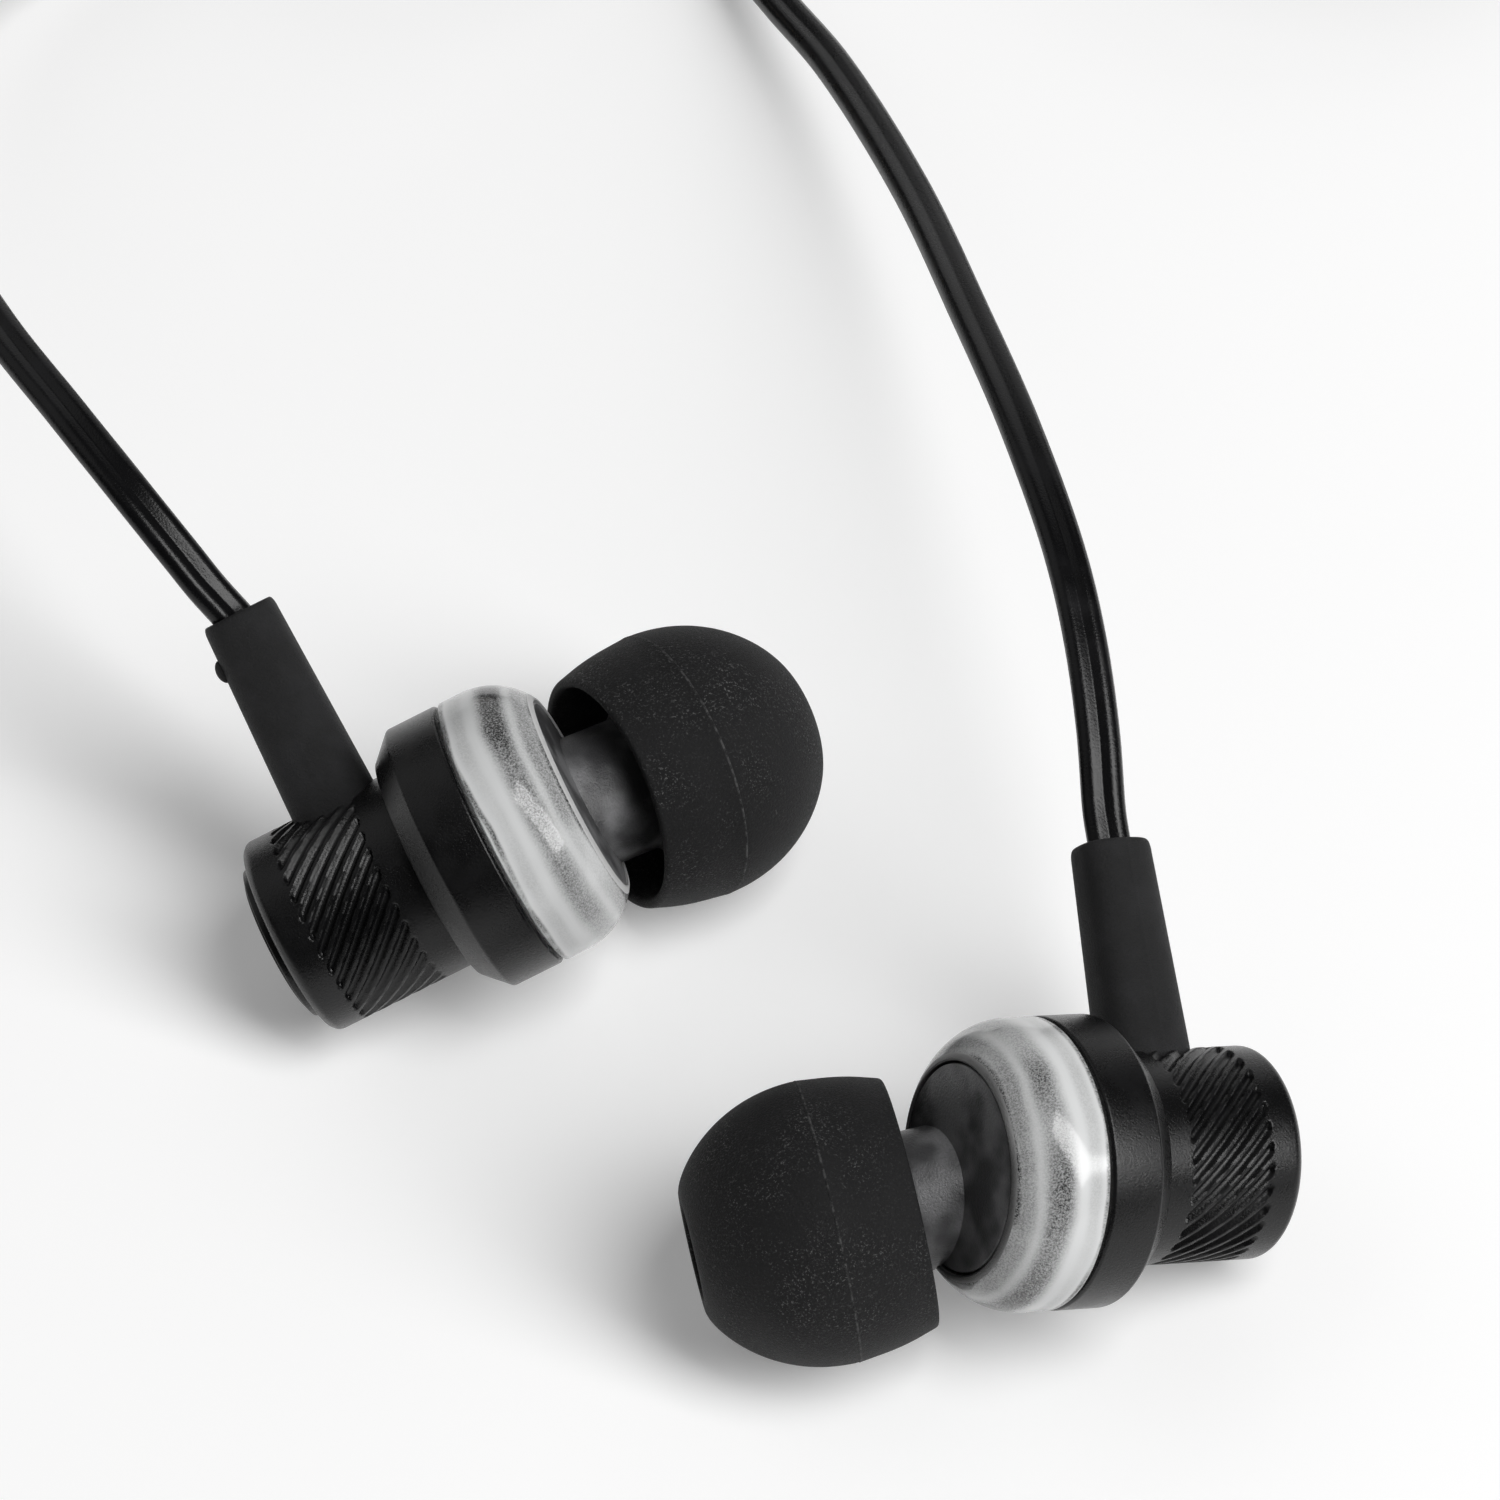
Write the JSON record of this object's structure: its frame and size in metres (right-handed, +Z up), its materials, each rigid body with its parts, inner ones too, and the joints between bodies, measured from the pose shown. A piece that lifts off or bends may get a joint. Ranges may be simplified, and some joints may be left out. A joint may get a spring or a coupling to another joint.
{
  "type": "wired earphones",
  "caption": "In-ear earphones with angled silicone tips, clear front housings, knurled metal barrels and a flat twin cord wound up behind them to a straight jack plug.",
  "frame": {"origin": "on the table under the middle of the box round the two earpieces, their cord left out", "axes": "+Z up from the table; +Y away from the viewer, towards the wound cord; +X to the right, so that each earpiece's tip points inwards"},
  "size_m": [0.0853, 0.1209, 0.0193],
  "materials": {
    "anodised": "black anodised, satin",
    "seal": "moulded",
    "clear": "clear with a frosted inside",
    "smoked": "smoke grey, frosted",
    "steel": "plain",
    "felt": "felt",
    "driver": "plated",
    "magnet": "nickel plated",
    "copper": "enamelled copper",
    "enamel": "red enamelled copper",
    "film": "thin film",
    "board": "circuit board",
    "cord": "smooth, glossy",
    "relief": "moulded, matte",
    "silicone": "matte silicone",
    "gold": "gold plated",
    "insulator": "moulded"
  },
  "bodies": {
    "earphones": {"left_end_cap": "anodised", "left_knurled_barrel": "anodised", "left_housing_ring": "anodised", "left_seal_ring": "seal", "left_front_housing": "clear", "left_nozzle": "smoked", "left_nozzle_mesh": "steel", "left_damping_felt": "felt", "left_driver_frame": "driver", "left_magnet_yoke": "steel", "left_magnet": "magnet", "left_top_plate": "steel", "left_voice_coil": "copper", "left_diaphragm": "film", "left_terminal_board": "board", "left_lead_wire_a": "copper", "left_lead_wire_b": "enamel", "left_cable_knot": "cord", "left_strain_relief": "relief", "right_end_cap": "anodised", "right_knurled_barrel": "anodised", "right_housing_ring": "anodised", "right_seal_ring": "seal", "right_front_housing": "clear", "right_nozzle": "smoked", "right_nozzle_mesh": "steel", "right_damping_felt": "felt", "right_driver_frame": "driver", "right_magnet_yoke": "steel", "right_magnet": "magnet", "right_top_plate": "steel", "right_voice_coil": "copper", "right_diaphragm": "film", "right_terminal_board": "board", "right_lead_wire_a": "copper", "right_lead_wire_b": "enamel", "right_cable_knot": "cord", "right_strain_relief": "relief", "left_cord": "cord", "right_cord": "cord", "left_coil": "cord", "right_coil": "cord", "left_lead": "cord", "right_lead": "cord", "main_lead": "cord", "main_coil": "cord", "plug_lead": "cord", "y_splitter": "relief", "plug_boot": "relief", "plug_shell": "anodised", "plug_sleeve": "gold", "plug_ring": "gold", "plug_insulator": "insulator", "plug_tip": "gold"},
    "left_tip": {"left_ear_tip": "silicone"},
    "right_tip": {"right_ear_tip": "silicone"}
  },
  "joints": [
    {"name": "left_tip_pull", "type": "slide", "parent": "earphones", "child": "left_tip", "axis": [0.8613, 0.5022, -0.077], "range_m": [0, 0.0054]},
    {"name": "right_tip_pull", "type": "slide", "parent": "earphones", "child": "right_tip", "axis": [-0.9727, -0.2149, -0.0874], "range_m": [0, 0.0054]}
  ]
}
